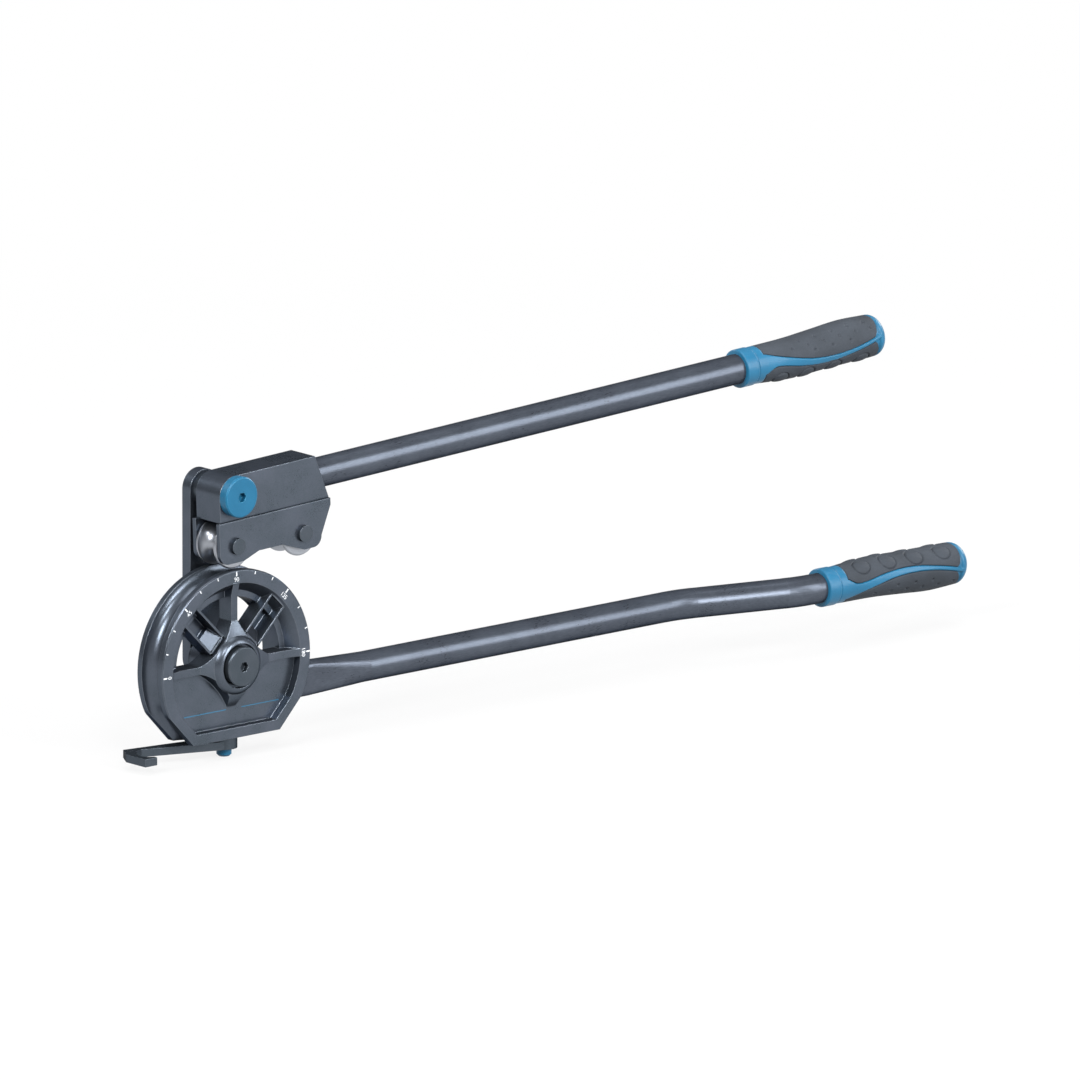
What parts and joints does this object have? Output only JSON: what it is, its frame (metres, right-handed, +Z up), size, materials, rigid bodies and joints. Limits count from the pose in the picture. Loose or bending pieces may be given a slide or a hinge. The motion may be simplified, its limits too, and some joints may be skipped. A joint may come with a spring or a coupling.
{
  "type": "roller tube bender",
  "caption": "Hand tube bender: grooved spoked forming wheel on a fixed handle, a roller head on a second handle that swings round it on a link, and a swinging tube hook.",
  "frame": {"origin": "on the forming wheel's axis, in the middle plane of its groove", "axes": "+X along the fixed handle away from the wheel, +Y along the wheel's axis away from the scale, +Z up through the head's pivot"},
  "size_m": [0.6898, 0.0657, 0.2112],
  "materials": {
    "cast_body": "satin",
    "handle_tube": "satin",
    "dark_steel": "satin",
    "bright_steel": "polished",
    "bush_bronze": "satin",
    "blue_metal": "satin",
    "blue_plastic": "satin",
    "soft_pad": "matte"
  },
  "bodies": {
    "wheel": {"forming_wheel": "cast_body", "hub_bush": "bush_bronze", "hub_washer": "dark_steel", "fixed_handle": "handle_tube", "handle_screws": "dark_steel", "fixed_grip_core": "blue_plastic", "fixed_palm_pad": "soft_pad", "fixed_finger_pad": "soft_pad", "hook_pin": "blue_metal", "hook_washer": "dark_steel"},
    "link": {"swing_link": "cast_body", "hub_bolt": "dark_steel", "head_screw": "blue_metal", "head_spacer": "dark_steel"},
    "head": {"head_block": "cast_body", "front_cheek": "cast_body", "rear_cheek": "cast_body", "head_bush": "bush_bronze", "lead_axle_pin": "dark_steel", "trail_axle_pin": "dark_steel", "moving_handle": "handle_tube", "handle_lock_pin": "dark_steel", "moving_grip_core": "blue_plastic", "moving_palm_pad": "soft_pad", "moving_finger_pad": "soft_pad"},
    "lead_roller": {"lead_roller": "bright_steel", "lead_roller_bush": "bush_bronze"},
    "trail_roller": {"trail_roller": "bright_steel", "trail_roller_bush": "bush_bronze"},
    "hook": {"tube_hook": "dark_steel"}
  },
  "joints": [
    {"name": "link_swing", "type": "hinge", "parent": "wheel", "child": "link", "pos_m": [0, 0, 0], "axis": [0, 1, 0], "range_deg": [-90, 12]},
    {"name": "head_tilt", "type": "hinge", "parent": "link", "child": "head", "pos_m": [0, 0, 0.1125], "axis": [0, 1, 0], "range_deg": [-95, 0]},
    {"name": "lead_roller_spin", "type": "hinge", "parent": "head", "child": "lead_roller", "pos_m": [0, 0, 0.0793], "axis": [0, 1, 0], "continuous": true},
    {"name": "trail_roller_spin", "type": "hinge", "parent": "head", "child": "trail_roller", "pos_m": [0.057, 0, 0.0793], "axis": [0, 1, 0], "continuous": true},
    {"name": "hook_swing", "type": "hinge", "parent": "wheel", "child": "hook", "pos_m": [0, 0, -0.055], "axis": [0, 0, 1], "range_deg": [-100, 60]}
  ]
}
